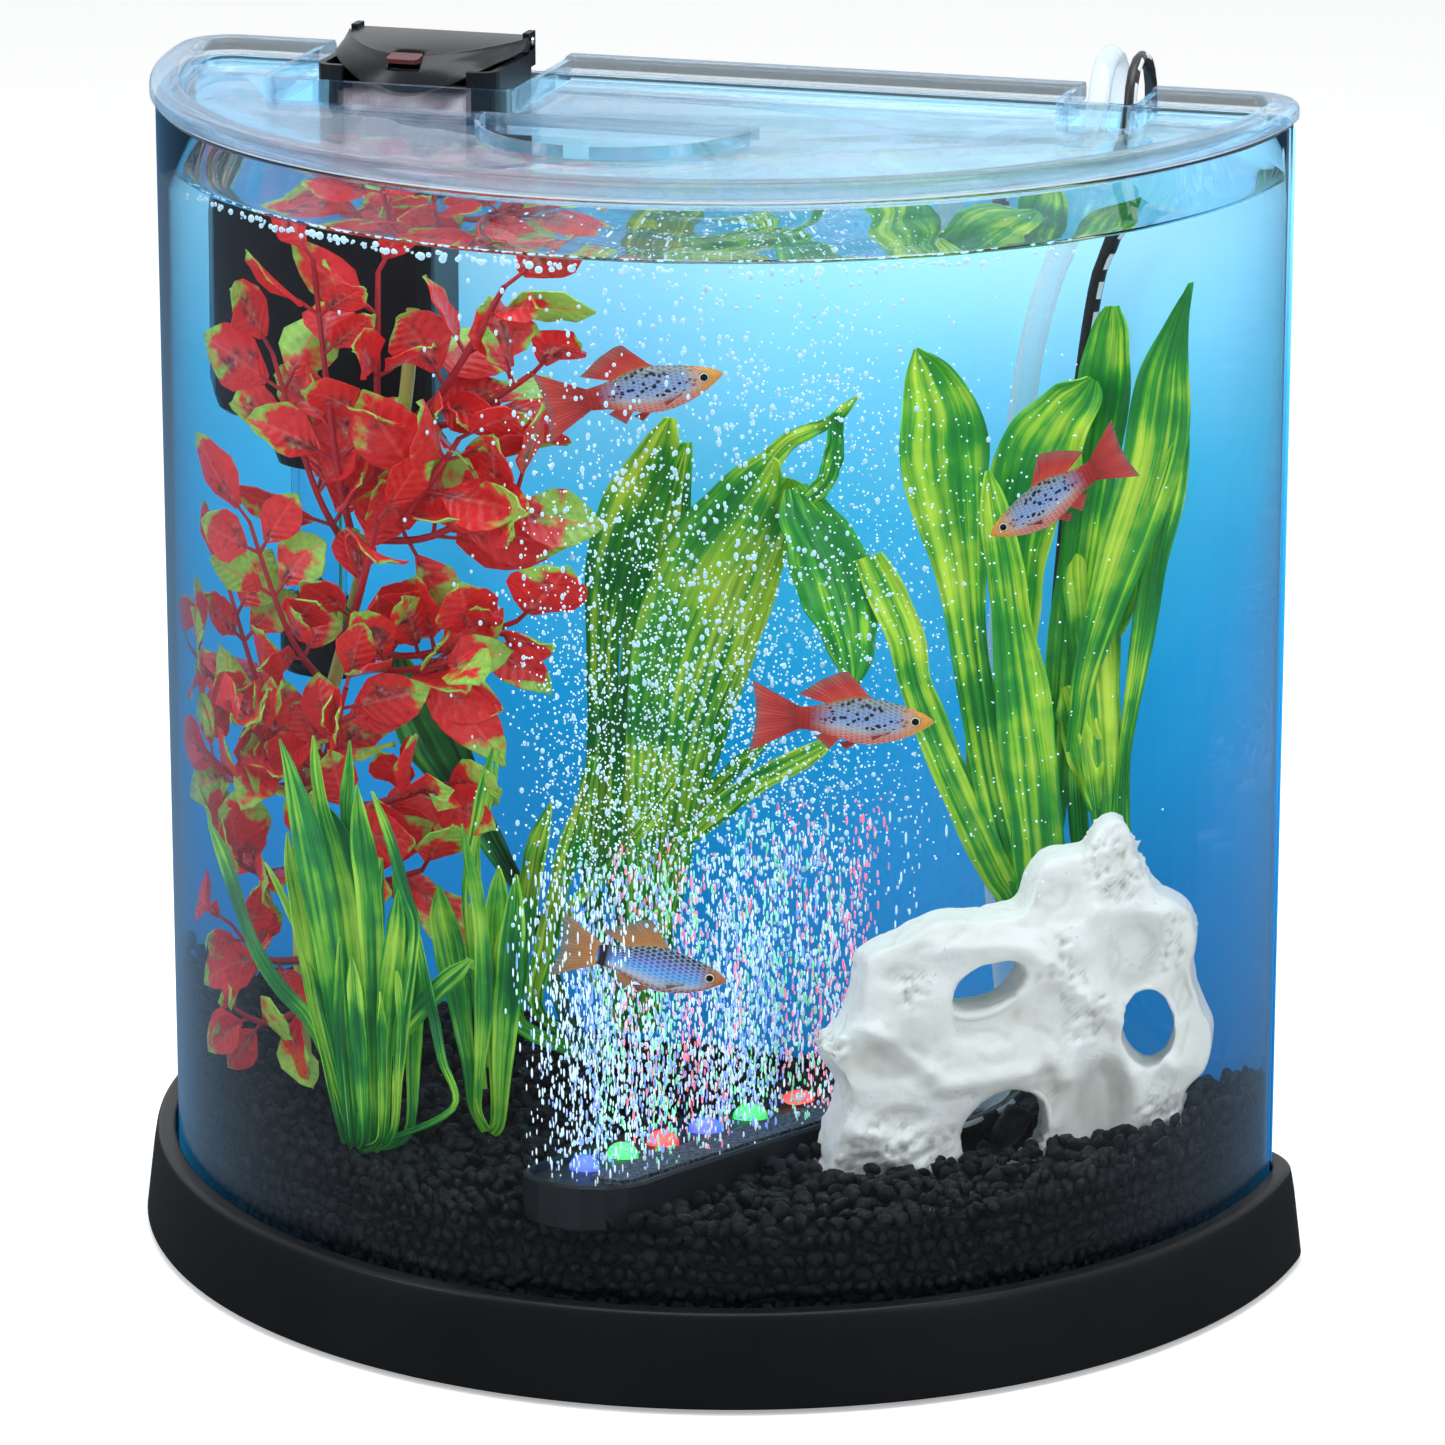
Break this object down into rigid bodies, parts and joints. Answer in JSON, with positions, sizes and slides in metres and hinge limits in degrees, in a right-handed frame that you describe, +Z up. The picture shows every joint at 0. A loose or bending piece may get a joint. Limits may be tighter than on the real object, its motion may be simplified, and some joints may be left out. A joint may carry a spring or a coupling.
{
  "type": "half-moon desktop aquarium",
  "caption": "Half-moon clear desktop aquarium on a black tray, with recessed clear lid, air-lift filter, lit bubble bar, gravel, pierced rock and plastic plants.",
  "frame": {"origin": "centre of the footprint, on the surface that the feet stand on", "axes": "+Z up; the flat back faces +Y, the round front faces -Y, +X is to the right seen from the front"},
  "size_m": [0.336, 0.274, 0.3378],
  "materials": {
    "black_plastic": "satin black moulded plastic",
    "soft_rubber": "matt black rubber",
    "cup_rubber": "cloudy clear soft vinyl",
    "clear_wall": "clear, polished",
    "clear_lid": "clear moulded, polished",
    "blue_film": "printed film, sky blue fading to deep blue",
    "white_floss": "fibrous filter floss",
    "latch_red": "satin",
    "pin_steel": "satin",
    "prong_brass": "plated",
    "lamp_board": "satin",
    "air_stone_grit": "rough sintered grit",
    "lamp_blue": "clear dome, lit blue, emissive",
    "lamp_green": "clear dome, lit green, emissive",
    "lamp_red": "clear dome, lit red, emissive",
    "airline_silicone": "clear silicone",
    "lead_jacket": "black vinyl with a broken white trace",
    "black_gravel": "wet black coated gravel",
    "white_resin_rock": "matt cast resin",
    "red_leaf": "moulded foliage, red with lime edges",
    "grass_leaf": "moulded foliage, bright green",
    "sword_leaf": "moulded foliage, yellow green",
    "water": "clear water",
    "fish_skin": "speckled silver scales, red fins"
  },
  "bodies": {
    "tank": {"base_tray": "black_plastic", "foot_rear_left": "soft_rubber", "foot_rear_right": "soft_rubber", "foot_front_left": "soft_rubber", "foot_front_right": "soft_rubber", "tank_shell": "clear_wall", "background_film": "blue_film", "bar_housing": "black_plastic", "bar_cover": "black_plastic", "bar_air_stone": "air_stone_grit", "bar_lamp_board": "lamp_board", "lamp_dome_1": "lamp_blue", "lamp_dome_2": "lamp_green", "lamp_dome_3": "lamp_red", "lamp_dome_4": "lamp_blue", "lamp_dome_5": "lamp_green", "lamp_dome_6": "lamp_red", "bar_air_barb": "black_plastic", "bar_lead_gland": "black_plastic", "airline_tube": "airline_silicone", "airline_coil": "airline_silicone", "lamp_lead": "lead_jacket", "lamp_lead_coil": "lead_jacket", "adapter_strain_relief": "black_plastic", "adapter_case": "black_plastic", "adapter_prong_upper": "prong_brass", "adapter_prong_lower": "prong_brass", "gravel_bed": "black_gravel", "ornament_rock": "white_resin_rock", "plant_red_leaf": "red_leaf", "plant_grass_left": "grass_leaf", "plant_grass_middle": "grass_leaf", "plant_sword_centre": "sword_leaf", "plant_sword_right": "sword_leaf"},
    "lid": {"tank_lid": "clear_lid"},
    "filter": {"filter_housing": "black_plastic", "filter_hinge_pin": "pin_steel", "cartridge_frame": "black_plastic", "cartridge_floss": "white_floss", "lift_tube": "clear_wall", "tube_collar": "black_plastic", "intake_strainer": "black_plastic", "filter_air_barb": "black_plastic", "suction_cup_left": "cup_rubber", "suction_cup_right": "cup_rubber"},
    "filter_cover": {"filter_lid": "black_plastic"},
    "latch": {"filter_latch": "latch_red"}
  },
  "joints": [
    {"name": "lid_lift", "type": "slide", "parent": "tank", "child": "lid", "axis": [0, 0, 1], "range_m": [0, 0.12]},
    {"name": "filter_lift", "type": "slide", "parent": "tank", "child": "filter", "axis": [0, 0, 1], "range_m": [0, 0.25]},
    {"name": "filter_cover_hinge", "type": "hinge", "parent": "filter", "child": "filter_cover", "pos_m": [-0.082, 0.07, 0.335], "axis": [-1, 0, 0], "range_deg": [0, 100]},
    {"name": "latch_press", "type": "slide", "parent": "filter_cover", "child": "latch", "axis": [0, 1, 0], "range_m": [0, 0.0015], "stiffness_N_per_m": 150}
  ]
}
